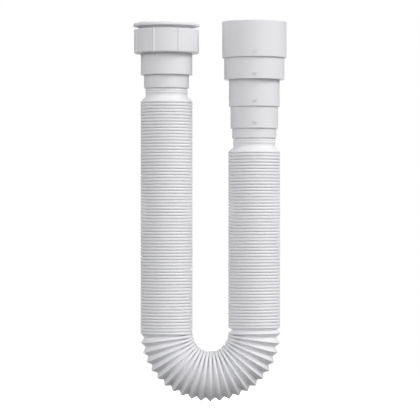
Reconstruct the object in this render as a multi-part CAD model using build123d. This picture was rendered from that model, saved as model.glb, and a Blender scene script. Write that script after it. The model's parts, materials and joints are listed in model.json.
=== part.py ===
from build123d import *
from math import asin, atan2, cos, hypot, radians, sin, sqrt, tan
import os

# An extendable drain trap: a bellows hose bent into a U, with a coupling nut and reducing
# bush on its inlet arm and a stepped pipe socket on its outlet arm.
# Frame: millimetres, +Z up. The inlet axis is the Z axis and z = 0 is the nut's top face.
# The outlet axis is parallel to it, on the +X side, and the U lies in the XZ plane.

# Coupling nut for a 1 1/2 inch thread; its plain bore lets the sleeve's flange in from above
NUT_HEIGHT = 21.0
NUT_WALL = 4.6
NUT_LIP_THICKNESS = 3.2
NUT_MOUTH_CHAMFER = 1.2
NUT_TOP_EDGE_R = 0.6
NUT_FOOT_R = 1.7
GRIP_COUNT = 8
GRIP_WIDTH = 2.4
GRIP_TOP_WIDTH = 0.8
GRIP_RISE = 0.7

# Reducing bush, bored to the minor diameter of a 1 1/4 inch pipe thread
BUSH_BORE_D = 39.0
BUSH_OVERHANG = 0.75
BUSH_SEAT_WIDTH = 1.5
BUSH_NECK = 1.5
BUSH_RIM_LIFT = 2.7
BUSH_RIM_THICKNESS = 2.3
BUSH_RIM_R = 1.2
BUSH_CROWN = 2.0
BUSH_CROWN_WIDTH = 2.0
BUSH_MOUTH_CHAMFER = 0.8

# Flat seal and the stepped sleeve that carries the inlet end of the hose
SEAL_THICKNESS = 2.5
SEAL_INSET = 0.3
SLEEVE_UPPER_D = 44.9
SLEEVE_UPPER_LENGTH = 18.5
SLEEVE_LOWER_LENGTH = 11.5
SLEEVE_WALL = 1.9
SLEEVE_FLANGE_RISE = 0.9
SLEEVE_FLANGE_THICKNESS = 2.5
SLEEVE_SHOULDER = 2.6

# Bellows hose: every fold wall keeps its length, so a fold gets shallower as it opens, and the
# round on its crest, given for a closed fold, gets tighter
HOSE_CREST_D = 45.3
FOLD_LENGTH = 5.3
CREST_R = 1.18
CREST_WALL = 0.8
HOSE_WALL = 0.5
CLOSED_PITCH = 2.715
OPEN_PITCH = 5.3
INLET_FOLDS = 74
BEND_FOLDS = 22
OUTLET_FOLDS = 56
ARM_SPACING = 76.3
BEND_DRAW_IN = 1.05

# Plain cuffs at both ends of the hose, with two raised beads on the neck that shows
CUFF_D = 36.4
CUFF_WALL = 1.2
CUFF_INSERT = 9.2
NECK_LENGTH = 7.1
NECK_CONE_LENGTH = 4.6
BEAD_COUNT = 2
BEAD_PITCH = 1.8
BEAD_WIDTH = 1.0
BEAD_RISE = 0.35

# Outlet adaptor: pipe sockets from the hose upwards, each wider than the one below it
SOCKET_PIPE_D = (38.0, 40.0, 48.0, 50.0)
SOCKET_LENGTH = (18.9, 23.5, 19.0, 31.6)
SOCKET_WALL = (1.55, 1.95, 2.1, 2.9)
PIPE_PLAY = 0.3
SOCKET_FLOOR = 2.0
COLLAR_LENGTH = 8.6
COLLAR_WALL = 0.95
COLLAR_CHAMFER = 0.6
ADAPTOR_RIM_R = 0.7

# Fits and small edges
THREAD_PLAY = 0.1
CUFF_PLAY = 0.12
RUN_PLAY = 0.3
EDGE_R = 0.5

# Radii that follow from the sizes above
cuff_r = CUFF_D / 2
cuff_socket_r = cuff_r + CUFF_PLAY
cuff_bore_r = cuff_r - CUFF_WALL
crest_r = HOSE_CREST_D / 2
sleeve_r = SLEEVE_UPPER_D / 2
sleeve_bore_r = sleeve_r - SLEEVE_WALL
flange_r = sleeve_r + SLEEVE_FLANGE_RISE
nut_bore_r = flange_r + RUN_PLAY
nut_r = nut_bore_r + NUT_WALL
bend_r = ARM_SPACING / 2

# Heights that follow from the sizes above, from the nut down the inlet arm and up the other
lip_top_z = NUT_LIP_THICKNESS - NUT_HEIGHT
flange_z = lip_top_z + RUN_PLAY
flange_top_z = flange_z + SLEEVE_FLANGE_THICKNESS
seal_top_z = flange_top_z + SEAL_THICKNESS
bush_end_z = seal_top_z + RUN_PLAY
sleeve_step_z = -NUT_HEIGHT - SLEEVE_UPPER_LENGTH
sleeve_end_z = sleeve_step_z - SLEEVE_LOWER_LENGTH
inlet_crest_z = sleeve_end_z - NECK_LENGTH - NECK_CONE_LENGTH
bend_z = inlet_crest_z - INLET_FOLDS * CLOSED_PITCH
outlet_crest_z = bend_z + OPEN_PITCH + OUTLET_FOLDS * CLOSED_PITCH
adaptor_z = outlet_crest_z + NECK_CONE_LENGTH + NECK_LENGTH


def turned(profile):
    """Solid of revolution about Z from a closed outline of (radius, height) points."""
    outline = make_face(Polyline(*[(r, 0, z) for r, z in profile], close=True))
    return revolve(outline, Axis.Z)


def rings_at(solid, radius, height):
    """Round edges of a turned solid that have this radius and height."""
    rings = solid.edges().filter_by(GeomType.CIRCLE)
    return rings.filter_by(lambda e: abs(e.radius - radius) + abs(e.arc_center.Z - height) < 1e-4)


def coupling_nut():
    """Round nut with grip ribs; its lip holds the sleeve's flange from below."""
    lip_hole_r = sleeve_r + RUN_PLAY
    core = turned(
        [
            (lip_hole_r, -NUT_HEIGHT),
            (nut_r, -NUT_HEIGHT),
            (nut_r, 0),
            (nut_bore_r + NUT_MOUTH_CHAMFER, 0),
            (nut_bore_r, -NUT_MOUTH_CHAMFER),
            (nut_bore_r, lip_top_z),
            (lip_hole_r, lip_top_z),
        ]
    )
    grip_r = nut_r + GRIP_RISE
    grip_band = turned(
        [
            (nut_r - NUT_WALL / 2, -NUT_HEIGHT),
            (grip_r, -NUT_HEIGHT),
            (grip_r, 0),
            (nut_r - NUT_WALL / 2, 0),
        ]
    )
    core = fillet(rings_at(core, nut_r, -NUT_HEIGHT), NUT_FOOT_R)
    core = fillet(rings_at(core, nut_r, 0), NUT_TOP_EDGE_R)
    grip_band = fillet(rings_at(grip_band, grip_r, -NUT_HEIGHT), NUT_FOOT_R)
    grip_band = fillet(rings_at(grip_band, grip_r, 0), NUT_TOP_EDGE_R)
    bar_outline = Polyline(
        (nut_r - NUT_WALL / 2, GRIP_WIDTH / 2),
        (nut_r, GRIP_WIDTH / 2),
        (grip_r, GRIP_TOP_WIDTH / 2),
        (grip_r, -GRIP_TOP_WIDTH / 2),
        (nut_r, -GRIP_WIDTH / 2),
        (nut_r - NUT_WALL / 2, -GRIP_WIDTH / 2),
        close=True,
    )
    bar = extrude(make_face(bar_outline), -NUT_HEIGHT)
    bars = PolarLocations(0, GRIP_COUNT, start_angle=180 / GRIP_COUNT) * bar
    grips = Part() + [grip_band & one for one in bars]
    return core + grips


def reducing_bush():
    """Flanged bush in the nut's mouth; a short neck holds its domed flange above the nut."""
    spigot_r = nut_bore_r - THREAD_PLAY
    bore_r = BUSH_BORE_D / 2
    seat_r = nut_bore_r + NUT_MOUTH_CHAMFER + BUSH_SEAT_WIDTH
    rim_r = nut_r + BUSH_OVERHANG
    rim_top_z = BUSH_RIM_LIFT + BUSH_RIM_THICKNESS
    crown_z = rim_top_z + BUSH_CROWN
    bush = turned(
        [
            (bore_r, bush_end_z),
            (spigot_r, bush_end_z),
            (spigot_r, 0),
            (seat_r, 0),
            (seat_r, BUSH_NECK),
            (rim_r, BUSH_RIM_LIFT),
            (rim_r, rim_top_z),
            (bore_r + BUSH_CROWN_WIDTH, crown_z),
            (bore_r + BUSH_MOUTH_CHAMFER, crown_z),
            (bore_r, crown_z - BUSH_MOUTH_CHAMFER),
        ]
    )
    return fillet(rings_at(bush, rim_r, rim_top_z), BUSH_RIM_R)


def inlet_seal():
    """Flat ring that lies on the sleeve's flange, below the end of the bush."""
    outer_r = flange_r - SEAL_INSET
    return turned(
        [
            (sleeve_bore_r, flange_top_z),
            (outer_r, flange_top_z),
            (outer_r, seal_top_z),
            (sleeve_bore_r, seal_top_z),
        ]
    )


def inlet_sleeve():
    """Two-step tube: flange inside the nut at the top, socket for the hose cuff below."""
    lower_r = cuff_socket_r + SLEEVE_WALL * 2 / 3
    stop_z = sleeve_end_z + CUFF_INSERT + RUN_PLAY
    stop_top_z = stop_z + SLEEVE_SHOULDER
    sleeve = turned(
        [
            (cuff_socket_r, sleeve_end_z),
            (lower_r, sleeve_end_z),
            (lower_r, sleeve_step_z),
            (sleeve_r, sleeve_step_z),
            (sleeve_r, flange_z),
            (flange_r, flange_z),
            (flange_r, flange_top_z),
            (sleeve_bore_r, flange_top_z),
            (sleeve_bore_r, stop_top_z + sleeve_bore_r - cuff_bore_r),
            (cuff_bore_r, stop_top_z),
            (cuff_bore_r, stop_z),
            (cuff_socket_r, stop_z),
        ]
    )
    corners = rings_at(sleeve, sleeve_r, sleeve_step_z) + rings_at(sleeve, lower_r, sleeve_end_z)
    return fillet(corners, EDGE_R)


# Corners of a fold in their order along the hose: name, half pitches from its first crest, side
OUTER_CORNERS = (
    ("land", 0, 1),
    ("shoulder", 0, 1),
    ("root", 1, 0),
    ("shoulder", 2, -1),
    ("land", 2, -1),
)
INNER_CORNERS = (
    ("inner_land", 0, 1),
    ("inner_root", 1, -1),
    ("inner_root", 1, 1),
    ("inner_land", 2, -1),
)


def fold_corners(half_pitch):
    """Corners of a fold by name: depth below the crest, and distance from its crest or root.

    Flats stand for the round on the crest: a land, and a slope from it to the shoulder.
    """
    depth = sqrt(FOLD_LENGTH**2 - half_pitch**2)
    round_r = min(CREST_R * sqrt(CLOSED_PITCH / 2 / half_pitch), 0.88 * half_pitch)
    lean = atan2(depth - round_r, half_pitch) + asin(round_r / hypot(depth - round_r, half_pitch))
    shoulder_r = round_r / cos(lean / 4)
    inner_run = (HOSE_WALL + (depth - CREST_WALL) * cos(lean)) / sin(lean)
    return {
        "crest": (0, 0),
        "land": (0, round_r * tan(lean / 4)),
        "shoulder": (round_r - shoulder_r * cos(0.75 * lean), shoulder_r * sin(0.75 * lean)),
        "root": (depth, 0),
        "inner_crest": (CREST_WALL, 0),
        "inner_land": (CREST_WALL, half_pitch - inner_run),
        "inner_root": (depth + HOSE_WALL, HOSE_WALL * tan(lean / 2)),
    }


def hose_arm(pitches):
    """One straight arm, upwards from the crest at z = 0: folds, cone, beaded neck and cuff."""
    outer = [(crest_r, 0)]
    inner = [(crest_r - CREST_WALL, 0)]
    height = 0
    for pitch in pitches:
        corners = fold_corners(pitch / 2)
        for skin, names in ((outer, OUTER_CORNERS), (inner, INNER_CORNERS)):
            for name, halves, side in names:
                depth, away = corners[name]
                skin.append((crest_r - depth, height + halves * pitch / 2 + side * away))
        height += pitch
    neck_z = height + NECK_CONE_LENGTH
    neck_top_z = neck_z + NECK_LENGTH
    outer += [(crest_r, height), (cuff_r, neck_z)]
    for bead in reversed(range(BEAD_COUNT)):
        bead_z = neck_top_z - (bead + 1) * BEAD_PITCH
        outer += [
            (cuff_r, bead_z - BEAD_WIDTH / 2),
            (cuff_r + BEAD_RISE, bead_z - BEAD_WIDTH / 4),
            (cuff_r + BEAD_RISE, bead_z + BEAD_WIDTH / 4),
            (cuff_r, bead_z + BEAD_WIDTH / 2),
        ]
    outer.append((cuff_r, neck_top_z + CUFF_INSERT))
    inner += [
        (crest_r - CREST_WALL, height),
        (cuff_bore_r, neck_z),
        (cuff_bore_r, neck_top_z + CUFF_INSERT),
    ]
    return turned(outer + inner[::-1])


def bend_point(reach, turn):
    """Point of the bend's middle plane at this turn and distance from the bend's centre."""
    return Vector(bend_r - reach * cos(turn), 0, bend_z - reach * sin(turn))


def bend_ring(half_turns, name, side):
    """Circle across the bend through a corner of a fold on its inside and on its outside."""
    half_turn = radians(90 / BEND_FOLDS)
    turn = half_turns * half_turn
    near_crest = bend_r - crest_r
    far_crest = bend_r + crest_r - BEND_DRAW_IN * sin(turn) ** 4
    near_depth, near_away = fold_corners(half_turn * (near_crest + FOLD_LENGTH / 2))[name]
    far_depth, far_away = fold_corners(half_turn * (far_crest - FOLD_LENGTH / 3))[name]
    near_reach = near_crest + near_depth
    far_reach = far_crest - far_depth
    near = bend_point(near_reach, turn + side * near_away / near_reach)
    far = bend_point(far_reach, turn + side * far_away / far_reach)
    sideways = Vector(0, 1, 0)
    across = Plane((near + far) / 2, x_dir=sideways, z_dir=(far - near).cross(sideways))
    return Edge.make_circle((far - near).length / 2, across)


def bend_skins():
    """Fold walls of the half turn, fanned open on the outside: strips from ring to ring."""
    strips = []
    for crest, names in (("crest", OUTER_CORNERS), ("inner_crest", INNER_CORNERS)):
        rings = [bend_ring(0, crest, 0)]
        for fold in range(BEND_FOLDS):
            rings += [bend_ring(2 * fold + halves, name, side) for name, halves, side in names]
        rings.append(bend_ring(2 * BEND_FOLDS, crest, 0))
        strips += zip(rings, rings[1:])
    return [Face.make_surface_from_curves(start, end) for start, end in strips]


def corrugated_hose():
    """One thin-walled blown hose: two closed arms and the fanned bend, sewn to one skin."""
    inlet_arm = Pos(0, 0, bend_z) * hose_arm([CLOSED_PITCH] * INLET_FOLDS)
    outlet_arm = Pos(ARM_SPACING, 0, bend_z) * hose_arm([OPEN_PITCH] + [CLOSED_PITCH] * OUTLET_FOLDS)
    skins = bend_skins()
    for arm in (inlet_arm, outlet_arm):
        cut_end = arm.faces().sort_by(Axis.Z).filter_by(Plane.XY)[0]
        skins += [face for face in arm.faces() if face != cut_end]
    return Solid(Shell(skins))


def outlet_adaptor():
    """Stepped moulding: collar over the hose cuff, then one pipe socket above another."""
    stop_z = adaptor_z + CUFF_INSERT + RUN_PLAY
    collar_r = cuff_socket_r + COLLAR_WALL
    step_z = adaptor_z + COLLAR_LENGTH
    outer = [(collar_r - COLLAR_CHAMFER, adaptor_z), (collar_r, adaptor_z + COLLAR_CHAMFER)]
    inner = [(cuff_socket_r, adaptor_z), (cuff_socket_r, stop_z), (cuff_bore_r, stop_z)]
    outer.append((collar_r, step_z))
    inner.append((cuff_bore_r, step_z + SOCKET_FLOOR))
    corners = []
    for pipe_d, length, wall in zip(SOCKET_PIPE_D, SOCKET_LENGTH, SOCKET_WALL):
        bore_r = (pipe_d + PIPE_PLAY) / 2
        floor_z = step_z + SOCKET_FLOOR
        inner.append((bore_r, floor_z))
        outer.append((bore_r + wall, step_z))
        corners.append((bore_r + wall, step_z))
        step_z += length
        outer.append((bore_r + wall, step_z))
        inner.append((bore_r, step_z + SOCKET_FLOOR))
    inner[-1] = (bore_r, step_z)
    adaptor = turned(outer + inner[::-1])
    for radius, height in corners:
        adaptor = fillet(rings_at(adaptor, radius, height), EDGE_R)
    return Pos(ARM_SPACING, 0, 0) * fillet(rings_at(adaptor, bore_r + wall, step_z), ADAPTOR_RIM_R)


PIECES = {
    "coupling_nut": coupling_nut,
    "reducing_bush": reducing_bush,
    "inlet_seal": inlet_seal,
    "inlet_sleeve": inlet_sleeve,
    "corrugated_hose": corrugated_hose,
    "outlet_adaptor": outlet_adaptor,
}

os.makedirs("parts", exist_ok=True)
for node, make in PIECES.items():
    piece = make()
    piece.label = node
    export_step(piece, f"parts/{node}.step")
    print(node, round(piece.volume, 1), piece.bounding_box())
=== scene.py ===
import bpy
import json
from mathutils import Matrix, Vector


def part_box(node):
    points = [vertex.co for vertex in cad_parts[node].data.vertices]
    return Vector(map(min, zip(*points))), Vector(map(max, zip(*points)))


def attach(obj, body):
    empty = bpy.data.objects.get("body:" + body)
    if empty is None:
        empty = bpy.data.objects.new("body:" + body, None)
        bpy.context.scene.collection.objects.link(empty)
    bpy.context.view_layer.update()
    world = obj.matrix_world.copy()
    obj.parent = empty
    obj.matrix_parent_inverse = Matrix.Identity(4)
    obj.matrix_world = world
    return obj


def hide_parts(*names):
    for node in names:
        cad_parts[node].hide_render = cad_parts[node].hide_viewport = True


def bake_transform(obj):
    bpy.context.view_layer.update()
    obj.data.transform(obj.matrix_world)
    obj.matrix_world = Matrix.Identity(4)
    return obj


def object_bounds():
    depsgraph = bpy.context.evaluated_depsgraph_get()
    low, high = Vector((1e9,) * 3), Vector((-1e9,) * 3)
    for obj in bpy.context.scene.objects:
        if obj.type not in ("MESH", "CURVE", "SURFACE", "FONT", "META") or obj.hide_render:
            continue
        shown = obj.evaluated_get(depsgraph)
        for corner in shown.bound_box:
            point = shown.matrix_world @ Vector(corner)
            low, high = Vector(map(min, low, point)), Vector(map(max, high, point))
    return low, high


bl_info = {
    "name": "Extendable Trap",
    "version": (1, 0, 0),
    "blender": (4, 5, 0),
    "location": "3D View > Sidebar > Trap",
    "description": "Dresses an extendable drain trap: bellows hose, inlet fittings and stepped outlet",
    "category": "Object",
}

import json
from math import pi, radians

import bpy
import numpy as np
from bpy.props import (
    FloatProperty,
    FloatVectorProperty,
    IntProperty,
    PointerProperty,
    StringProperty,
)
from bpy.types import Operator, Panel, PropertyGroup
from mathutils import Vector

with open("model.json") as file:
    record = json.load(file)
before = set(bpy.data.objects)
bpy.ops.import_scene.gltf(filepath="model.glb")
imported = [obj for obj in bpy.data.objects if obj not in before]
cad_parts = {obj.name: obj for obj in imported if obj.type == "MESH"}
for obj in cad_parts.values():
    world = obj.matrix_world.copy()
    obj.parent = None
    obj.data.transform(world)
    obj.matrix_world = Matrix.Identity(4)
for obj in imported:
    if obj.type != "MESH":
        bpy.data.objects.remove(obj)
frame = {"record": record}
CAD_LOW, CAD_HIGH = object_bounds()
MM = 0.001

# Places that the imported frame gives, in metres
NUT_LOW, NUT_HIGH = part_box("coupling_nut")
BUSH_LOW, BUSH_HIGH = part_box("reducing_bush")
SEAL_LOW, SEAL_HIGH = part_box("inlet_seal")
SLEEVE_LOW, SLEEVE_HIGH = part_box("inlet_sleeve")
HOSE_LOW, HOSE_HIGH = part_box("corrugated_hose")
ADAPTOR_LOW, ADAPTOR_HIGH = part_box("outlet_adaptor")
MOUNTS = {mount["name"]: mount for mount in frame["record"]["mounts"]}
JOINTS = {joint["name"]: joint for joint in frame["record"]["behaviour"]["joints"]}
STRETCH = JOINTS["inlet_arm_stretch"]["range_m"][1]
SOCKETS = ("socket_38", "socket_40", "socket_48", "socket_50")
OUTLET_X = MOUNTS["socket_50"]["pos_m"][0]
BUSH_BORE = MOUNTS["inlet_thread"]["dims"]["r_mm"] * MM

# Clearances of the fits
CUFF_PLAY = 0.12 * MM
RUN_PLAY = 0.3 * MM
THREAD_PLAY = 0.1 * MM

# Radii that the mould leaves on corners and edges, from nearly sharp to soft
EDGE_CRISP = 0.1 * MM
EDGE_TIGHT = 0.15 * MM
EDGE_FINE = 0.2 * MM
EDGE_SMALL = 0.3 * MM
EDGE_PLAIN = 0.4 * MM
EDGE_SOFT = 0.5 * MM

# Points around the turned pieces, and around the nut across a rib and between two ribs
BUSH_STEPS = 160
SLEEVE_STEPS = 128
ADAPTOR_STEPS = 144
RIB_STEPS = 15
GAP_STEPS = 18

# An edge that bends by more than this is shaded sharp
SHARP_ANGLE = radians(52)

# The bush's flange is drawn this much lower than its solid
CROWN_DROP = 0.9 * MM


def length(name, description, metres):
    """A length that a user may change."""
    return FloatProperty(
        name=name,
        description=description,
        default=metres,
        min=0.0,
        unit="LENGTH",
        subtype="DISTANCE",
        precision=5,
    )


def count(name, description, number):
    """A whole number that a user may change."""
    return IntProperty(name=name, description=description, default=number, min=1)


def hex_colour(name, description, code):
    """A colour kept as an sRGB hex code."""
    return StringProperty(name=name, description=description, default=code, maxlen=7)


class TrapHoseSettings(PropertyGroup):
    """Sizes of the bellows hose"""

    crest: length("Crest radius", "Outside radius of the folds", HOSE_HIGH.y)
    fold: length("Fold wall", "Length of one wall of a fold, from crest to root", 5.3 * MM)
    wall: length("Wall", "Thickness of the blown wall", 0.5 * MM)
    open_pitch: length("Open pitch", "Pitch of the one fold left open on the outlet arm", 5.3 * MM)
    open_depth: length("Open depth", "Depth of that fold, from crest to root", 3.3 * MM)
    crest_round: length("Crest round", "Radius on the crest of a closed fold", 1.28 * MM)
    crest_squash: FloatProperty(
        name="Crest squash",
        description="Height of that round on a closed fold, as a share of its radius",
        default=0.45,
        min=0.0,
        max=1.0,
        subtype="FACTOR",
    )
    root_round: length("Root round", "Radius in the bottom of each root", 0.14 * MM)
    draw_in: length("Draw in", "How far the open folds pull the bend in at its middle", 1.05 * MM)
    cuff: length("Cuff radius", "Outside radius of the plain cuffs", 18.2 * MM)
    cuff_wall: length("Cuff wall", "Thickness of the cuffs", 1.2 * MM)
    cuff_insert: length("Cuff insert", "Length of cuff inside its socket", 9.2 * MM)
    neck: length("Neck", "Length of cuff that shows below its socket", 7.1 * MM)
    cone: length("Cone", "Height of the cone between the neck and the first crest", 4.6 * MM)
    bead_pitch: length("Bead pitch", "Spacing of the two beads on the neck", 1.8 * MM)
    bead_rise: length("Bead rise", "Height of the beads", 0.35 * MM)
    inlet_folds: count("Inlet folds", "Folds in the inlet arm", 74)
    bend_folds: count("Bend folds", "Folds in the bend", 22)
    outlet_folds: count("Outlet folds", "Closed folds above the open one", 56)
    steps: count("Steps", "Points around the hose", 80)


class TrapInletSettings(PropertyGroup):
    """Sizes of the nut, bush, sleeve and seal"""

    nut_wall: length("Nut wall", "Thickness of the nut's wall", 4.6 * MM)
    nut_lip: length("Nut lip", "Thickness of the lip that holds the sleeve", 3.2 * MM)
    nut_foot: length("Nut foot", "Radius on the nut's lower edge", 1.7 * MM)
    nut_brow: length("Nut brow", "Radius on the nut's upper edge", 0.6 * MM)
    nut_chamfer: length("Nut chamfer", "Chamfer at the nut's mouth", 1.2 * MM)
    grip_count: count("Grips", "Grip ribs around the nut", 8)
    grip_width: length("Grip width", "Width of a grip rib at its foot", 2.6 * MM)
    grip_rise: length("Grip rise", "Height of a grip rib", 0.75 * MM)
    bush_neck: length("Bush neck", "Height of the spigot that shows above the nut", 1.5 * MM)
    bush_lift: length("Bush lift", "Height of the flange's edge above the nut", 2.7 * MM)
    bush_rim: length("Bush rim", "Thickness of the flange's edge", 2.8 * MM)
    bush_rim_round: length("Bush rim round", "Radius on the flange's upper edge", 1.9 * MM)
    bush_top: length(
        "Bush top",
        "Height of the flange's flat top above the nut",
        BUSH_HIGH.z - NUT_HIGH.z - CROWN_DROP,
    )
    bush_crown: length("Bush crown", "Radius of the flat top of the flange", 25.3 * MM)
    bush_crown_round: length("Bush crown round", "Radius on the edge of that flat", 1.0 * MM)
    bush_mouth: length("Bush mouth", "Chamfer at the mouth of the bush's bore", 0.8 * MM)
    thread_pitch: length("Thread pitch", "Pitch of the 1 1/4 inch pipe thread", 2.309 * MM)
    thread_depth: length("Thread depth", "Depth of the thread in the bush", 1.2 * MM)
    sleeve_upper: length("Upper sleeve", "Outside radius of the wide step", 22.45 * MM)
    sleeve_lower: length("Lower sleeve", "Outside radius of the narrow step", 19.59 * MM)
    sleeve_step: length("Sleeve step", "Height of the narrow step", 11.5 * MM)
    sleeve_wall: length("Sleeve wall", "Thickness of the wide step", 1.9 * MM)
    shoulder: length("Shoulder", "Height of the plain bore above the stop of the cuff", 2.6 * MM)
    flange: length("Flange", "Thickness of the flange inside the nut", 2.5 * MM)


class TrapOutletSettings(PropertyGroup):
    """Sizes of the stepped outlet and its raised numbers"""

    walls: FloatVectorProperty(
        name="Socket walls",
        description="Wall thickness of the sockets, from the hose upwards",
        default=(1.55 * MM, 1.95 * MM, 2.1 * MM, 2.9 * MM),
        size=4,
        unit="LENGTH",
        precision=5,
    )
    floor: length("Socket floor", "How far each bore's floor lies above the step outside", 2.0 * MM)
    collar: length("Collar", "Height of the collar over the hose cuff", 8.6 * MM)
    collar_wall: length("Collar wall", "Thickness of the collar", 0.95 * MM)
    collar_edge: length("Collar edge", "Radius on the lower edge of the collar", 0.7 * MM)
    edge: length("Edge", "Radius on the lower edge of each step", 0.5 * MM)
    rim: length("Rim", "Radius on the top rim", 0.7 * MM)
    mark_height: length("Mark height", "Height of the raised size numbers", 2.6 * MM)
    mark_rise: length("Mark rise", "How far the numbers stand out", 0.5 * MM)
    mark_gap: length("Mark gap", "Height of the numbers above the edge of their step", 3.6 * MM)


class TrapFinishSettings(PropertyGroup):
    """Colours of the finishes, as sRGB hex codes"""

    moulded: hex_colour("Moulded white", "Injection moulded polypropylene", "#ECECEE")
    moulded_shade: hex_colour("Moulded shade", "The same where the melt cooled last", "#E8E8EB")
    bellows: hex_colour("Bellows white", "Blow moulded polypropylene", "#F0F0F2")
    bellows_shade: hex_colour("Bellows shade", "The same where the wall is thin", "#ECECEF")
    seal: hex_colour("Seal grey", "Soft moulded seal", "#D5D5D3")
    floor: hex_colour("Floor", "Pale studio floor as the camera sees it", "#F2F2F2")
    floor_bounce: hex_colour("Floor bounce", "The same as it throws light on the object", "#686868")


class TrapStageSettings(PropertyGroup):
    """Camera, floor and light"""

    distance: length("Distance", "Camera distance from the plane of the U", 2.23)
    focal: FloatProperty(
        name="Lens",
        description="Focal length in millimetres",
        default=219.7,
        unit="CAMERA",
    )
    aim_x: length("Aim across", "Middle of the picture, across from the inlet axis", 37.8 * MM)
    aim_drop: length("Aim down", "Middle of the picture, below the nut's top face", 156.7 * MM)
    floor_gap: length(
        "Floor gap",
        "Space below the bend, with room for the hose to stretch",
        STRETCH + 50 * MM,
    )
    key: FloatProperty(name="Key", description="Power of the key light", default=18.4, unit="POWER")
    fill: FloatProperty(name="Fill", description="Power of the fill light", default=2.0, unit="POWER")
    back: FloatProperty(name="Back", description="Power of the light behind", default=48.0, unit="POWER")
    front: FloatProperty(name="Front", description="Strength of the boxes in front", default=1.75)
    behind: FloatProperty(name="Behind", description="Strength of the boxes behind", default=0.45)


def linear(code):
    """Linear RGBA of an sRGB hex code."""
    values = [int(code[i : i + 2], 16) / 255 for i in (1, 3, 5)]
    return [v / 12.92 if v <= 0.04045 else ((v + 0.055) / 1.055) ** 2.4 for v in values] + [1.0]


def add_node(tree, kind, inputs=None, **settings):
    """Add a node with its settings; each input is a value or the socket that feeds it."""
    node = tree.nodes.new(kind)
    for key, value in settings.items():
        setattr(node, key, value)
    for key, value in (inputs or {}).items():
        if isinstance(value, bpy.types.NodeSocket):
            tree.links.new(value, node.inputs[key])
        else:
            node.inputs[key].default_value = value
    return node


def per_metre(millimetres):
    """Texture scale for a pattern whose features are this far apart."""
    return 1.0 / (millimetres * MM)


def new_material(name):
    """An empty node material, or the one of this name that is there already."""
    material = bpy.data.materials.get(name)
    if material:
        return material, None
    material = bpy.data.materials.new(name)
    material.use_nodes = True
    material.node_tree.nodes.clear()
    return material, material.node_tree


def moulded_polypropylene(finish):
    """Injection moulded polypropylene: satin white, with a faint flow mottle and a mould grain."""
    material, tree = new_material("moulded_white_polypropylene")
    if tree is None:
        return material
    # To the eye: a broad soft highlight off the polished mould, which wavers with the melt's flow
    place = add_node(tree, "ShaderNodeTexCoord")
    # The melt leaves a mottle about 14 mm across
    flow = add_node(
        tree,
        "ShaderNodeTexNoise",
        {
            "Vector": place.outputs["Object"],
            "Scale": per_metre(14.0),
            "Detail": 3.0,
            "Roughness": 0.5,
        },
    )
    tint = add_node(
        tree,
        "ShaderNodeMix",
        {
            "Factor": flow.outputs["Fac"],
            "A": linear(finish.moulded),
            "B": linear(finish.moulded_shade),
        },
        data_type="RGBA",
    )
    # The real mould grain is about 0.05 mm; it is drawn at 0.6 mm so that it shows at all
    grain = add_node(
        tree,
        "ShaderNodeTexNoise",
        {"Vector": place.outputs["Object"], "Scale": per_metre(0.6), "Detail": 2.0},
    )
    sheen = add_node(
        tree,
        "ShaderNodeMapRange",
        {"Value": flow.outputs["Fac"], "To Min": 0.34, "To Max": 0.46},
    )
    bump = add_node(
        tree,
        "ShaderNodeBump",
        {"Height": grain.outputs["Fac"], "Strength": 0.06, "Distance": 0.05 * MM},
    )
    shader = add_node(
        tree,
        "ShaderNodeBsdfPrincipled",
        {
            "Base Color": tint.outputs["Result"],
            "Roughness": sheen.outputs["Result"],
            "IOR": 1.49,
            "Normal": bump.outputs["Normal"],
        },
    )
    add_node(tree, "ShaderNodeOutputMaterial", {"Surface": shader.outputs["BSDF"]})
    return material


def blown_polypropylene(finish):
    """Blow moulded polypropylene: a softer satin than the fittings, uneven where the wall thins."""
    material, tree = new_material("blown_white_polypropylene")
    if tree is None:
        return material
    # To the eye: a duller white whose highlight breaks up from fold to fold over the rippled skin
    place = add_node(tree, "ShaderNodeTexCoord")
    # The blown wall thins and thickens over about 22 mm
    wall = add_node(
        tree,
        "ShaderNodeTexNoise",
        {
            "Vector": place.outputs["Object"],
            "Scale": per_metre(22.0),
            "Detail": 4.0,
            "Roughness": 0.55,
        },
    )
    tint = add_node(
        tree,
        "ShaderNodeMix",
        {
            "Factor": wall.outputs["Fac"],
            "A": linear(finish.bellows),
            "B": linear(finish.bellows_shade),
        },
        data_type="RGBA",
    )
    # Blown skin ripples over about 1.5 mm
    ripple = add_node(
        tree,
        "ShaderNodeTexNoise",
        {"Vector": place.outputs["Object"], "Scale": per_metre(1.5), "Detail": 2.0},
    )
    sheen = add_node(
        tree,
        "ShaderNodeMapRange",
        {"Value": wall.outputs["Fac"], "To Min": 0.4, "To Max": 0.52},
    )
    bump = add_node(
        tree,
        "ShaderNodeBump",
        {"Height": ripple.outputs["Fac"], "Strength": 0.08, "Distance": 0.08 * MM},
    )
    shader = add_node(
        tree,
        "ShaderNodeBsdfPrincipled",
        {
            "Base Color": tint.outputs["Result"],
            "Roughness": sheen.outputs["Result"],
            "IOR": 1.49,
            "Normal": bump.outputs["Normal"],
        },
    )
    add_node(tree, "ShaderNodeOutputMaterial", {"Surface": shader.outputs["BSDF"]})
    return material


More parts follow.
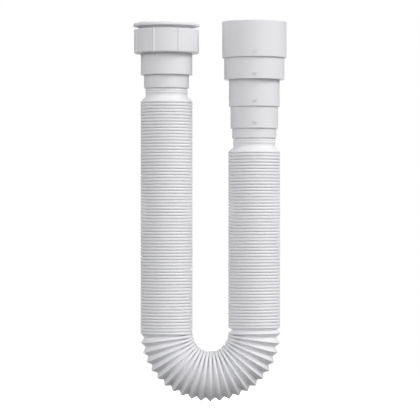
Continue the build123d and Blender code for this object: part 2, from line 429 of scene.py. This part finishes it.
def moulded_rubber(finish):
    """Moulded rubber of the seal: matt, pale, with a fine talc-like bloom."""
    material, tree = new_material("moulded_pale_rubber")
    if tree is None:
        return material
    # To the eye: a dusty pale grey with hardly any highlight
    place = add_node(tree, "ShaderNodeTexCoord")
    # The real bloom is as fine as flour; it is drawn at 0.8 mm so that it shows at all
    bloom = add_node(
        tree,
        "ShaderNodeTexNoise",
        {"Vector": place.outputs["Object"], "Scale": per_metre(0.8), "Detail": 3.0},
    )
    matt = add_node(
        tree,
        "ShaderNodeMapRange",
        {"Value": bloom.outputs["Fac"], "To Min": 0.7, "To Max": 0.85},
    )
    bump = add_node(
        tree,
        "ShaderNodeBump",
        {"Height": bloom.outputs["Fac"], "Strength": 0.1, "Distance": 0.05 * MM},
    )
    shader = add_node(
        tree,
        "ShaderNodeBsdfPrincipled",
        {
            "Base Color": linear(finish.seal),
            "Roughness": matt.outputs["Result"],
            "IOR": 1.5,
            "Normal": bump.outputs["Normal"],
        },
    )
    add_node(tree, "ShaderNodeOutputMaterial", {"Surface": shader.outputs["BSDF"]})
    return material


def rounded(outline, arc_steps=4):
    """Closed outline of (radius, height, corner radius) points with its corners rounded."""
    corners = [(Vector((r, z)), corner) for r, z, corner in outline]
    points = []
    for i, (here, corner) in enumerate(corners):
        if corner == 0:
            points.append(here)
            continue
        to_last = (corners[i - 1][0] - here).normalized()
        to_next = (corners[(i + 1) % len(corners)][0] - here).normalized()
        half = to_last.angle(to_next) / 2
        centre = here + (to_last + to_next).normalized() * corner / np.sin(half)
        start = here + to_last * corner / np.tan(half) - centre
        end = here + to_next * corner / np.tan(half) - centre
        for share in np.linspace(0, 1, arc_steps + 1):
            spoke = start.lerp(end, share).normalized() * corner
            points.append(centre + spoke)
    return points


def with_supports(points, margin=0.3 * MM, long_run=1.2 * MM):
    """Add a point close to each end of every long run, so that smooth shading stays flat there."""
    held = []
    for i, here in enumerate(points):
        ahead = points[(i + 1) % len(points)]
        run = ahead - here
        held.append(here)
        if run.length > long_run:
            step = run.normalized() * margin
            held += [here + step, ahead - step]
    return held


def piece_from_rings(name, rings, material):
    """Closed mesh object from rings of points, which closes around and from last ring to first."""
    ring_count, steps, _ = rings.shape
    ring, step = np.meshgrid(np.arange(ring_count), np.arange(steps), indexing="ij")
    next_ring = (ring + 1) % ring_count
    next_step = (step + 1) % steps
    quads = np.stack(
        [
            ring * steps + step,
            ring * steps + next_step,
            next_ring * steps + next_step,
            next_ring * steps + step,
        ],
        axis=-1,
    )
    mesh = bpy.data.meshes.new(name)
    mesh.from_pydata(rings.reshape(-1, 3).tolist(), [], quads.reshape(-1, 4).tolist())
    mesh.shade_smooth()
    mesh.set_sharp_from_angle(angle=SHARP_ANGLE)
    mesh.materials.append(material)
    piece = bpy.data.objects.new(name, mesh)
    bpy.context.scene.collection.objects.link(piece)
    return piece


def turned_rings(points, angles, axis_x=0.0, relief=None):
    """Rings of an outline turned about a vertical axis; relief gives what a point's radius gains."""
    radius = np.array([p[0] for p in points])[:, None]
    height = np.array([p[1] for p in points])[:, None]
    around = np.asarray(angles)[None, :]
    radius = radius + (relief(radius, height, around) if relief else 0.0 * around)
    x = axis_x + radius * np.sin(around)
    y = -radius * np.cos(around)
    return np.stack([x, y, height + 0.0 * around], axis=-1)


def full_turn(steps):
    """Even angles once around; a turned piece counts them from the front towards +X."""
    return np.linspace(0, 2 * pi, steps, endpoint=False)


# A crest as its fold opens: its radius falls with this power of the pitch, it is at most this share of
# half a pitch, and the inner surface lies at most this many wall thicknesses behind it
CREST_POWER = 0.8
CREST_SHARE = 0.95
CREST_WALLS = 3.2

# How far below their crests the folds of the bend take their pitch
PITCH_DEPTH = 1.0 * MM

# Softening at both ends of a cuff's cone, as a share of a crest's radius, and the points that draw it
# in shares of that softening, outwards and upwards
CONE_SOFT = 0.4
CONE_START = ((-0.3, 0.7), (-1.0, 1.3))
CONE_END = ((0.4, -0.4), (0.0, 0.4))

# A bead on the neck: its points in shares of its half width, how full it is, and its half width as a
# share of the pitch of the beads
BEAD_POINTS = (-1.0, -0.6, -0.25, 0.25, 0.6, 1.0)
BEAD_POWER = 0.7
BEAD_HALF = 0.32


def fold_curve(depth, half, crest_round, squash, root_round, steps=4):
    """Half a fold as (depth, along) points: an arc on the crest, a straight wall, an arc in the root."""
    drop = depth - crest_round - root_round
    lean = np.arctan2(drop, half) + np.arcsin((crest_round + root_round) / np.hypot(drop, half))
    curve = []
    for share in np.linspace(0, 1, steps):
        rise = squash * crest_round * (1 - np.cos(lean * share))
        curve.append((rise, crest_round * np.sin(lean * share)))
    for share in (1, 0):
        deep = depth - root_round * (1 - np.cos(lean * share))
        curve.append((deep, half - root_round * np.sin(lean * share)))
    return curve


class HoseShape:
    """Sizes of the hose that follow from its settings and from the frame."""

    def __init__(self, hose):
        self.hose = hose
        self.bend_r = OUTLET_X / 2
        self.bend_z = HOSE_LOW.z + self.bend_r + hose.crest - hose.draw_in
        self.inlet_crest_z = HOSE_HIGH.z - hose.cuff_insert - hose.neck - hose.cone
        self.pitch = (self.inlet_crest_z - self.bend_z) / hose.inlet_folds
        self.outlet_crest_z = self.bend_z + hose.open_pitch + hose.outlet_folds * self.pitch

    def depth(self, half):
        """Depth of a fold whose walls span this half pitch."""
        return np.sqrt(self.hose.fold**2 - half**2)

    def crest_round(self, half):
        """Radius on a crest: nearly half a pitch while closed, tighter where the fold is open."""
        shrink = (self.pitch / 2 / half) ** CREST_POWER
        return np.minimum(self.hose.crest_round * shrink, CREST_SHARE * half)

    def crest_squash(self, half):
        """Height of a crest's round against its width: closed folds press each other flat."""
        return np.clip(self.hose.crest_squash * half / (self.pitch / 2), 0.0, 1.0)

    def inner_crest(self, half):
        """Depth of the inner surface behind a crest."""
        return np.minimum(self.hose.wall * self.hose.fold / half, CREST_WALLS * self.hose.wall)

    def curve(self, depth, half):
        """Half a fold of this depth and half pitch, from crest to root."""
        tip, squash = self.crest_round(half), self.crest_squash(half)
        return fold_curve(depth, half, tip, squash, self.hose.root_round)

    def arm_outline(self, folds):
        """Outline of an arm of (pitch, depth) folds: from bend to cuff outside, and back inside."""
        hose = self.hose
        outer, inner = [], []
        z = self.bend_z
        for pitch, depth in folds:
            half = pitch / 2
            curve = self.curve(depth, half)
            outer += [(hose.crest - d, z + a) for d, a in curve[:-1]]
            outer += [(hose.crest - d, z + pitch - a) for d, a in curve[:0:-1]]
            root = hose.crest - depth - hose.wall
            inner += [(hose.crest - self.inner_crest(half), z)]
            inner += [(root, z + half - hose.root_round), (root, z + half + hose.root_round)]
            z += pitch
        outer.append((hose.crest, z))
        inner.append((hose.crest - self.inner_crest(self.pitch / 2), z))
        return outer + self.cuff_outline(z) + inner[::-1]

    def cuff_outline(self, crest_z):
        """Outline from the last crest over the cone and beaded neck to the cuff's end and bore."""
        hose = self.hose
        neck_z = crest_z + hose.cone
        neck_top = neck_z + hose.neck
        end_z = neck_top + hose.cuff_insert
        soft = CONE_SOFT * hose.crest_round
        outline = [(hose.crest + out * soft, crest_z + up * soft) for out, up in CONE_START]
        outline += [(hose.cuff + out * soft, neck_z + up * soft) for out, up in CONE_END]
        for place in (2, 1):
            bead_z = neck_top - place * hose.bead_pitch
            for share in BEAD_POINTS:
                rise = hose.bead_rise * np.cos(share * pi / 2) ** BEAD_POWER
                outline.append((hose.cuff + rise, bead_z + share * hose.bead_pitch * BEAD_HALF))
        bore = hose.cuff - hose.cuff_wall
        outline += [(hose.cuff, end_z), (bore, end_z), (bore, neck_z)]
        return outline

    def bend_rings(self):
        """Rings of the half turn: crests and roots that stand further apart on the outside."""
        hose = self.hose
        around = full_turn(hose.steps)
        half_turn = pi / 2 / hose.bend_folds
        outer, inner = [], []
        for fold in range(hose.bend_folds):
            for side in (0, 1):
                curves = self.half_fold(fold, side, half_turn, around)
                outer += curves[0]
                inner += curves[1]
        close = self.inner_crest(self.pitch / 2)
        last = self.bend_ring(pi, *self.crest_circle(pi, around))
        end = self.bend_ring(pi, *self.crest_circle(pi, around, -close))
        return np.array(outer + [last, end] + inner[::-1])

    def crest_circle(self, turn, around, grow=0.0):
        """Distance from the bend's centre and sideways offset of the points of a crest circle."""
        near = self.bend_r - self.hose.crest - grow
        # The fourth power leaves both ends of the bend as wide as the arms
        far = self.bend_r + self.hose.crest - self.hose.draw_in * np.sin(turn) ** 4 + grow
        middle, radius = (near + far) / 2, (far - near) / 2
        return middle + radius * np.cos(around), radius * np.sin(around)

    def bend_ring(self, turn, reach, aside):
        """Points at this turn round the bend, at these distances from its centre and offsets."""
        turn = turn + 0.0 * reach
        x = self.bend_r - reach * np.cos(turn)
        return np.stack([x, aside, self.bend_z - reach * np.sin(turn)], axis=-1)

    def half_fold(self, fold, side, half_turn, around):
        """Outer and inner rings of one side of a fold of the bend, in order round the bend."""
        hose = self.hose
        crest_turn = 2 * half_turn * (fold + side)
        root_turn = half_turn * (2 * fold + 1)
        crest_reach, crest_aside = self.crest_circle(crest_turn, around)
        lean_reach, lean_aside = self.crest_circle(root_turn, around, -PITCH_DEPTH)
        half = half_turn * lean_reach
        depth = self.depth(half)
        out_reach = lean_reach - self.bend_r
        size = np.hypot(out_reach, lean_aside)
        inward = -np.stack([out_reach / size, lean_aside / size])

        def ring(deep, along):
            turn = crest_turn + (root_turn - crest_turn) * along / half
            reach = crest_reach + inward[0] * deep
            return self.bend_ring(turn, reach, crest_aside + inward[1] * deep)

        rows = [ring(d, a) for d, a in self.curve(depth, half)]
        shallow = self.inner_crest(half)
        if fold + side in (0, hose.bend_folds):
            # The end crests meet the arms, whose folds are closed
            shallow = 0.0 * half + self.inner_crest(self.pitch / 2)
        inside = [ring(shallow, 0.0 * half), ring(depth + hose.wall, half - hose.root_round)]
        if side == 0:
            return rows[:-1], inside
        return rows[:0:-1], inside[:0:-1]


def finish_piece(piece, body, slot, *nodes):
    """Let a piece ride on its body and stand for CAD nodes, which it hides; its slot is not used."""
    if body:
        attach(piece, body)
    if nodes:
        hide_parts(*nodes)


class TRAP_OT_hose(Operator):
    """Build the bellows hose: two arms and the bend between them"""

    bl_idname = "trap.hose"
    bl_label = "Bellows hose"

    def execute(self, context):
        hose = context.scene.trap_hose
        shape = HoseShape(hose)
        material = blown_polypropylene(context.scene.trap_finish)
        turn = full_turn(hose.steps)
        closed = [(shape.pitch, shape.depth(shape.pitch / 2))]
        opened = [(hose.open_pitch, hose.open_depth)]
        inlet = shape.arm_outline(closed * hose.inlet_folds)
        outlet = shape.arm_outline(opened + closed * hose.outlet_folds)
        inlet_arm = piece_from_rings("hose_inlet_arm", turned_rings(inlet, turn), material)
        outlet_rings = turned_rings(outlet, turn, OUTLET_X)
        outlet_arm = piece_from_rings("hose_outlet_arm", outlet_rings, material)
        bend = piece_from_rings("hose_bend", shape.bend_rings(), material)
        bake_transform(inlet_arm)
        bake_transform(outlet_arm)
        finish_piece(inlet_arm, None, "white_bellows", "corrugated_hose")
        finish_piece(outlet_arm, None, "white_bellows", "corrugated_hose")
        finish_piece(bend, "hose", "white_bellows", "corrugated_hose")
        return {"FINISHED"}


class TRAP_OT_coupling_nut(Operator):
    """Build the round nut with its grip ribs"""

    bl_idname = "trap.coupling_nut"
    bl_label = "Coupling nut"

    def execute(self, context):
        inlet = context.scene.trap_inlet
        nut_r, top, foot = NUT_HIGH.x, NUT_HIGH.z, NUT_LOW.z
        lip_hole = inlet.sleeve_upper + RUN_PLAY
        lip_top = foot + inlet.nut_lip
        bore = nut_r - inlet.nut_wall
        outline = rounded(
            [
                (lip_hole, foot, EDGE_PLAIN),
                (nut_r, foot, inlet.nut_foot),
                (nut_r, top, inlet.nut_brow),
                (bore + inlet.nut_chamfer, top, EDGE_FINE),
                (bore, top - inlet.nut_chamfer, EDGE_FINE),
                (bore, lip_top, EDGE_SMALL),
                (lip_hole, lip_top, EDGE_PLAIN),
            ]
        )
        sector = 2 * pi / inlet.grip_count
        half_grip = inlet.grip_width / 2 / nut_r
        rib = np.linspace(-1, 1, RIB_STEPS) * half_grip
        gap = np.linspace(half_grip, sector - half_grip, GAP_STEPS)[1:-1]
        angles = [sector * (k + 0.5) + a for k in range(inlet.grip_count) for a in [*rib, *gap]]

        def grips(radius, height, around):
            offset = (around / sector) % 1.0 - 0.5
            bump = np.cos(np.clip(offset * sector / half_grip, -1, 1) * pi / 2) ** 2
            outside = np.clip((radius - bore) / inlet.nut_wall, 0, 1)
            return inlet.grip_rise * bump * outside

        rings = turned_rings(with_supports(outline), angles, relief=grips)
        material = moulded_polypropylene(context.scene.trap_finish)
        nut = piece_from_rings("coupling_nut_body", rings, material)
        finish_piece(nut, "nut", "white_moulding", "coupling_nut")
        return {"FINISHED"}


# Rings in each pitch of the bush's thread, and its groove in shares of that pitch from the middle:
# flat up to the first, gone at the second
THREAD_RINGS = 10
GROOVE_FLAT = 0.1
GROOVE_EDGE = 0.35
# A point this close to the bore's radius lies on it, in metres
ON_BORE = 1e-6


class TRAP_OT_reducing_bush(Operator):
    """Build the flanged bush with the thread in its bore"""

    bl_idname = "trap.reducing_bush"
    bl_label = "Reducing bush"

    def execute(self, context):
        inlet = context.scene.trap_inlet
        seat_z = NUT_HIGH.z
        rim_r, end_z = BUSH_HIGH.x, BUSH_LOW.z
        crown_z = seat_z + inlet.bush_top
        rim_z = seat_z + inlet.bush_lift
        nut_bore = NUT_HIGH.x - inlet.nut_wall
        spigot = nut_bore - THREAD_PLAY
        mouth = inlet.bush_mouth
        outline = rounded(
            [
                (BUSH_BORE, end_z, 0),
                (spigot, end_z, EDGE_PLAIN),
                (spigot, seat_z + inlet.bush_neck, EDGE_FINE),
                (rim_r, rim_z, EDGE_SMALL),
                (rim_r, rim_z + inlet.bush_rim, inlet.bush_rim_round),
                (inlet.bush_crown, crown_z, inlet.bush_crown_round),
                (BUSH_BORE + mouth, crown_z, EDGE_SMALL),
                (BUSH_BORE, crown_z - mouth, 0),
            ]
        )
        ring_count = int((crown_z - mouth - end_z) / inlet.thread_pitch * THREAD_RINGS)
        heights = np.linspace(crown_z - mouth, end_z, ring_count)[1:-1]
        bore = [Vector((BUSH_BORE, z)) for z in heights]
        start_z, stop_z = end_z + mouth, crown_z - 2 * mouth

        def thread(radius, height, around):
            wave = (height / inlet.thread_pitch + around / (2 * pi)) % 1.0
            groove = (GROOVE_EDGE - np.abs(wave - 0.5)) / (GROOVE_EDGE - GROOVE_FLAT)
            run_in = np.clip((height - start_z) / mouth, 0, 1)
            run_out = np.clip((stop_z - height) / mouth, 0, 1)
            on_bore = np.abs(radius - BUSH_BORE) < ON_BORE
            return inlet.thread_depth * np.clip(groove, 0, 1) * run_in * run_out * on_bore

        points = with_supports(outline[:-1]) + [outline[-1]] + bore
        rings = turned_rings(points, full_turn(BUSH_STEPS), relief=thread)
        material = moulded_polypropylene(context.scene.trap_finish)
        bush = piece_from_rings("reducing_bush_body", rings, material)
        finish_piece(bush, "nut", "white_moulding", "reducing_bush")
        return {"FINISHED"}


class TRAP_OT_inlet_sleeve(Operator):
    """Build the stepped sleeve that holds the hose below the nut"""

    bl_idname = "trap.inlet_sleeve"
    bl_label = "Inlet sleeve"

    def execute(self, context):
        inlet, hose = context.scene.trap_inlet, context.scene.trap_hose
        top, end = SLEEVE_HIGH.z, SLEEVE_LOW.z
        step_z = end + inlet.sleeve_step
        socket = hose.cuff + CUFF_PLAY
        bore = inlet.sleeve_upper - inlet.sleeve_wall
        cuff_bore = hose.cuff - hose.cuff_wall
        stop_z = end + hose.cuff_insert + RUN_PLAY
        shoulder_z = stop_z + inlet.shoulder
        outline = rounded(
            [
                (socket, end, EDGE_FINE),
                (inlet.sleeve_lower, end, EDGE_SOFT),
                (inlet.sleeve_lower, step_z, EDGE_SMALL),
                (inlet.sleeve_upper, step_z, EDGE_SOFT),
                (inlet.sleeve_upper, top - inlet.flange, EDGE_FINE),
                (SLEEVE_HIGH.x, top - inlet.flange, EDGE_SMALL),
                (SLEEVE_HIGH.x, top, EDGE_PLAIN),
                (bore, top, EDGE_PLAIN),
                (bore, shoulder_z + bore - cuff_bore, EDGE_SOFT),
                (cuff_bore, shoulder_z, EDGE_PLAIN),
                (cuff_bore, stop_z, EDGE_FINE),
                (socket, stop_z, EDGE_CRISP),
            ]
        )
        rings = turned_rings(with_supports(outline), full_turn(SLEEVE_STEPS))
        material = moulded_polypropylene(context.scene.trap_finish)
        sleeve = piece_from_rings("inlet_sleeve_body", rings, material)
        finish_piece(sleeve, "inlet", "white_moulding", "inlet_sleeve")
        return {"FINISHED"}


class TRAP_OT_inlet_seal(Operator):
    """Build the flat seal that lies on the sleeve's flange"""

    bl_idname = "trap.inlet_seal"
    bl_label = "Inlet seal"

    def execute(self, context):
        inlet = context.scene.trap_inlet
        bore = inlet.sleeve_upper - inlet.sleeve_wall
        outline = rounded(
            [
                (bore, SEAL_LOW.z, EDGE_PLAIN),
                (SEAL_HIGH.x, SEAL_LOW.z, EDGE_PLAIN),
                (SEAL_HIGH.x, SEAL_HIGH.z, EDGE_PLAIN),
                (bore, SEAL_HIGH.z, EDGE_PLAIN),
            ]
        )
        rings = turned_rings(with_supports(outline), full_turn(SLEEVE_STEPS))
        material = moulded_rubber(context.scene.trap_finish)
        seal = piece_from_rings("inlet_seal_ring", rings, material)
        finish_piece(seal, "inlet", "white_seal", "inlet_seal")
        return {"FINISHED"}


def outlet_steps(outlet):
    """Step by step from the hose upwards: pipe size, bore, outside radius, foot and top of the bore."""
    foot_z = ADAPTOR_LOW.z + outlet.collar
    steps = []
    for name, wall in zip(SOCKETS, outlet.walls):
        dims = MOUNTS[name]["dims"]
        bore = dims["r_mm"] * MM
        top_z = MOUNTS[name]["pos_m"][2] + dims["length_mm"] / 2 * MM
        steps.append((name.split("_")[1], bore, bore + wall, foot_z, top_z))
        foot_z = top_z - outlet.floor
    return steps


class TRAP_OT_outlet_adaptor(Operator):
    """Build the stepped outlet socket"""

    bl_idname = "trap.outlet_adaptor"
    bl_label = "Outlet adaptor"

    def execute(self, context):
        outlet, hose = context.scene.trap_outlet, context.scene.trap_hose
        end = ADAPTOR_LOW.z
        socket = hose.cuff + CUFF_PLAY
        cuff_bore = hose.cuff - hose.cuff_wall
        stop_z = end + hose.cuff_insert + RUN_PLAY
        collar_r = socket + outlet.collar_wall
        collar_z = end + outlet.collar
        outer = [(collar_r, end, outlet.collar_edge), (collar_r, collar_z, EDGE_SMALL)]
        inner = [
            (socket, end, EDGE_TIGHT),
            (socket, stop_z, EDGE_CRISP),
            (cuff_bore, stop_z, EDGE_FINE),
            (cuff_bore, collar_z + outlet.floor, EDGE_SMALL),
        ]
        for _, bore, outside, foot_z, top_z in outlet_steps(outlet):
            inner += [(bore, foot_z + outlet.floor, EDGE_SMALL), (bore, top_z, EDGE_SMALL)]
            outer += [(outside, foot_z, outlet.edge), (outside, top_z - outlet.floor, EDGE_SMALL)]
        # The last step ends in the rim
        outer[-1] = (outside, ADAPTOR_HIGH.z, outlet.rim)
        inner[-1] = (bore, ADAPTOR_HIGH.z, outlet.rim)
        outline = rounded(outer + inner[::-1])
        rings = turned_rings(with_supports(outline), full_turn(ADAPTOR_STEPS), OUTLET_X)
        material = moulded_polypropylene(context.scene.trap_finish)
        adaptor = piece_from_rings("outlet_adaptor_body", rings, material)
        finish_piece(adaptor, "outlet", "white_moulding", "outlet_adaptor")
        return {"FINISHED"}


class TRAP_OT_size_marks(Operator):
    """Raise the pipe sizes on the steps of the outlet"""

    bl_idname = "trap.size_marks"
    bl_label = "Size marks"

    def execute(self, context):
        outlet = context.scene.trap_outlet
        material = moulded_polypropylene(context.scene.trap_finish)
        for size, _, outside, foot_z, _ in outlet_steps(outlet):
            mark = raised_number(size, outside, foot_z + outlet.mark_gap, outlet, material)
            finish_piece(mark, "outlet", "white_moulding")
        return {"FINISHED"}


# Height of a figure as a share of the font's size
FIGURE_HEIGHT = 0.7


def raised_number(text, radius, height, outlet, material):
    """Raised number wrapped on the front of a step, with its foot just under the surface."""
    curve = bpy.data.curves.new("number_" + text, "FONT")
    curve.body = text
    curve.align_x = "CENTER"
    curve.size = outlet.mark_height / FIGURE_HEIGHT
    curve.extrude = outlet.mark_rise
    source = bpy.data.objects.new("number_" + text, curve)
    bpy.context.scene.collection.objects.link(source)
    bpy.context.view_layer.update()
    depsgraph = bpy.context.evaluated_depsgraph_get()
    mesh = bpy.data.meshes.new_from_object(source.evaluated_get(depsgraph))
    bpy.data.objects.remove(source)
    bpy.data.curves.remove(curve)
    for vertex in mesh.vertices:
        x, y, out = vertex.co
        angle = x / radius
        reach = radius + out
        vertex.co = (OUTLET_X + reach * np.sin(angle), -reach * np.cos(angle), height + y)
    mesh.materials.clear()
    mesh.materials.append(material)
    mark = bpy.data.objects.new("size_mark_" + text, mesh)
    bpy.context.scene.collection.objects.link(mark)
    return mark


def ray_kinds(tree):
    """Sockets that are 1 for what the camera sees, and for what shows in gloss or through glass."""
    path = add_node(tree, "ShaderNodeLightPath")
    mirrored = add_node(
        tree,
        "ShaderNodeMath",
        {0: path.outputs["Is Glossy Ray"], 1: path.outputs["Is Transmission Ray"]},
        operation="MAXIMUM",
    )
    return path.outputs["Is Camera Ray"], mirrored.outputs["Value"]


WHITE = "#FFFFFF"
# The floor's own white grows with the distance from its middle, in metres, because the lamps reach
# the far floor less
LIFT_FROM, LIFT_TO = 0.8, 2.8
LIFT_NEAR, LIFT_FAR = 0.24, 0.55


def studio_floor(finish):
    """Matt painted floor: plain white to the eye, with the soft shadow of what hangs above it."""
    material, tree = new_material("matt_painted_floor")
    if tree is None:
        return material
    camera, mirrored = ray_kinds(tree)
    shown = add_node(tree, "ShaderNodeMath", {0: camera, 1: mirrored}, operation="MAXIMUM")
    paint = add_node(tree, "ShaderNodeBsdfDiffuse", {"Color": linear(finish.floor)})
    bounce = add_node(tree, "ShaderNodeBsdfDiffuse", {"Color": linear(finish.floor_bounce)})
    place = add_node(tree, "ShaderNodeTexCoord")
    distance = add_node(
        tree,
        "ShaderNodeVectorMath",
        {0: place.outputs["Object"]},
        operation="LENGTH",
    )
    white = add_node(
        tree,
        "ShaderNodeMapRange",
        {
            "Value": distance.outputs["Value"],
            "From Min": LIFT_FROM,
            "From Max": LIFT_TO,
            "To Min": LIFT_NEAR,
            "To Max": LIFT_FAR,
        },
    )
    lift = add_node(
        tree,
        "ShaderNodeEmission",
        {"Color": linear(WHITE), "Strength": white.outputs["Result"]},
    )
    seen = add_node(
        tree,
        "ShaderNodeAddShader",
        {0: paint.outputs["BSDF"], 1: lift.outputs["Emission"]},
    )
    shader = add_node(
        tree,
        "ShaderNodeMixShader",
        {0: shown.outputs["Value"], 1: bounce.outputs["BSDF"], 2: seen.outputs["Shader"]},
    )
    add_node(tree, "ShaderNodeOutputMaterial", {"Surface": shader.outputs["Shader"]})
    return material


# Brightness of the soft boxes by height, from straight down at 0 to straight up at 1
RING_LIGHT = ((0.4, 0.0), (0.5, 0.6), (0.68, 1.0), (0.8, 0.8), (0.9, 0.3))
# The paper roll of the backdrop fills the directions whose Y, out of 1, is above this
ROLL_EDGE = 0.96


def studio_world(stage):
    """White backdrop to the camera; to the object, soft boxes in a ring, dim behind and overhead."""
    world = bpy.data.worlds.new("studio")
    world.use_nodes = True
    tree = world.node_tree
    tree.nodes.clear()
    camera, mirrored = ray_kinds(tree)
    place = add_node(tree, "ShaderNodeTexCoord")
    parts = add_node(tree, "ShaderNodeSeparateXYZ", {"Vector": place.outputs["Generated"]})
    height = add_node(tree, "ShaderNodeMapRange", {"Value": parts.outputs["Z"], "From Min": -1.0})
    ring = add_node(tree, "ShaderNodeValToRGB", {"Fac": height.outputs["Result"]})
    stops = ring.color_ramp.elements
    # A new ramp ends in white; here it is dark straight up as it is straight down
    stops[1].color = (0.0, 0.0, 0.0, 1.0)
    for up, level in RING_LIGHT:
        stop = stops.new(up)
        stop.color = (level, level, level, 1.0)
    around = add_node(
        tree,
        "ShaderNodeMapRange",
        {
            "Value": parts.outputs["Y"],
            "From Min": -1.0,
            "To Min": stage.front,
            "To Max": stage.behind,
        },
    )
    fall = add_node(
        tree,
        "ShaderNodeMath",
        {0: ring.outputs["Color"], 1: around.outputs["Result"]},
        operation="MULTIPLY",
    )
    soft = add_node(
        tree,
        "ShaderNodeBackground",
        {"Color": linear(WHITE), "Strength": fall.outputs["Value"]},
    )
    white = add_node(tree, "ShaderNodeBackground", {"Color": linear(WHITE), "Strength": 1.0})
    # Reflections see the backdrop only behind the object, where a studio's paper roll would hang
    roll = add_node(
        tree,
        "ShaderNodeMath",
        {0: parts.outputs["Y"], 1: ROLL_EDGE},
        operation="GREATER_THAN",
    )
    roll_mirrored = add_node(
        tree,
        "ShaderNodeMath",
        {0: mirrored, 1: roll.outputs["Value"]},
        operation="MULTIPLY",
    )
    shown = add_node(
        tree,
        "ShaderNodeMath",
        {0: camera, 1: roll_mirrored.outputs["Value"]},
        operation="MAXIMUM",
    )
    seen = add_node(
        tree,
        "ShaderNodeMixShader",
        {0: shown.outputs["Value"], 1: soft.outputs["Background"], 2: white.outputs["Background"]},
    )
    add_node(tree, "ShaderNodeOutputWorld", {"Surface": seen.outputs["Shader"]})
    return world


# Half the side of the floor, and the place and side of each lamp, in metres
FLOOR_HALF = 4.0
LAMPS = {
    "key": ((1.6, -0.7, 1.2), 0.8),
    "fill": ((-0.8, -2.0, 0.6), 1.4),
    "back": ((0.0, 3.5, 0.5), 0.8),
}


def soft_lamp(name, place, aim, size, power):
    """Square area lamp at a place, turned to its aim."""
    lamp = bpy.data.lights.new(name, "AREA")
    lamp.shape = "SQUARE"
    lamp.size = size
    lamp.energy = power
    carrier = bpy.data.objects.new(name, lamp)
    carrier.location = place
    carrier.rotation_euler = (aim - Vector(place)).to_track_quat("-Z", "Y").to_euler()
    bpy.context.scene.collection.objects.link(carrier)


class TRAP_OT_stage(Operator):
    """Set the floor, the light and the camera"""

    bl_idname = "trap.stage"
    bl_label = "Studio stage"

    def execute(self, context):
        scene, stage = context.scene, context.scene.trap_stage
        scene.view_settings.view_transform = "Standard"
        scene.world = studio_world(stage)
        aim = Vector((stage.aim_x, 0.0, -stage.aim_drop))
        floor_z = CAD_LOW.z - stage.floor_gap
        mesh = bpy.data.meshes.new("studio_floor")
        signs = ((-1, -1), (1, -1), (1, 1), (-1, 1))
        corners = [(x * FLOOR_HALF, y * FLOOR_HALF, floor_z) for x, y in signs]
        mesh.from_pydata(corners, [], [(0, 1, 2, 3)])
        mesh.materials.append(studio_floor(scene.trap_finish))
        floor = bpy.data.objects.new("studio_floor", mesh)
        scene.collection.objects.link(floor)
        for name, (place, size) in LAMPS.items():
            soft_lamp(name + "_lamp", place, aim, size, getattr(stage, name))
        camera_data = bpy.data.cameras.new("photo_camera")
        camera_data.lens = stage.focal
        camera = bpy.data.objects.new("photo_camera", camera_data)
        camera.location = aim + Vector((0.0, -stage.distance, 0.0))
        camera.rotation_euler = (pi / 2, 0.0, 0.0)
        scene.collection.objects.link(camera)
        scene.camera = camera
        return {"FINISHED"}


class TRAP_PT_pieces(Panel):
    """Buttons for every piece of the trap"""

    bl_idname = "TRAP_PT_pieces"
    bl_label = "Extendable trap"
    bl_space_type = "VIEW_3D"
    bl_region_type = "UI"
    bl_category = "Trap"

    def draw(self, context):
        column = self.layout.column(align=True)
        for operator in OPERATORS:
            column.operator(operator.bl_idname)


SETTINGS = {
    "trap_hose": TrapHoseSettings,
    "trap_inlet": TrapInletSettings,
    "trap_outlet": TrapOutletSettings,
    "trap_finish": TrapFinishSettings,
    "trap_stage": TrapStageSettings,
}
OPERATORS = (
    TRAP_OT_stage,
    TRAP_OT_hose,
    TRAP_OT_coupling_nut,
    TRAP_OT_reducing_bush,
    TRAP_OT_inlet_sleeve,
    TRAP_OT_inlet_seal,
    TRAP_OT_outlet_adaptor,
    TRAP_OT_size_marks,
)


def register():
    """Register the settings, the operators and the panel."""
    for group in SETTINGS.values():
        bpy.utils.register_class(group)
    for name, group in SETTINGS.items():
        setattr(bpy.types.Scene, name, PointerProperty(type=group))
    for operator in OPERATORS:
        bpy.utils.register_class(operator)
    bpy.utils.register_class(TRAP_PT_pieces)


def unregister():
    """Take them all out again, in reverse order."""
    bpy.utils.unregister_class(TRAP_PT_pieces)
    for operator in reversed(OPERATORS):
        bpy.utils.unregister_class(operator)
    for name in SETTINGS:
        delattr(bpy.types.Scene, name)
    for group in reversed(list(SETTINGS.values())):
        bpy.utils.unregister_class(group)


def main():
    """Build the stage and every piece."""
    register()
    bpy.ops.trap.stage()
    bpy.ops.trap.hose()
    bpy.ops.trap.coupling_nut()
    bpy.ops.trap.reducing_bush()
    bpy.ops.trap.inlet_sleeve()
    bpy.ops.trap.inlet_seal()
    bpy.ops.trap.outlet_adaptor()
    bpy.ops.trap.size_marks()


if __name__ == "__main__":
    main()
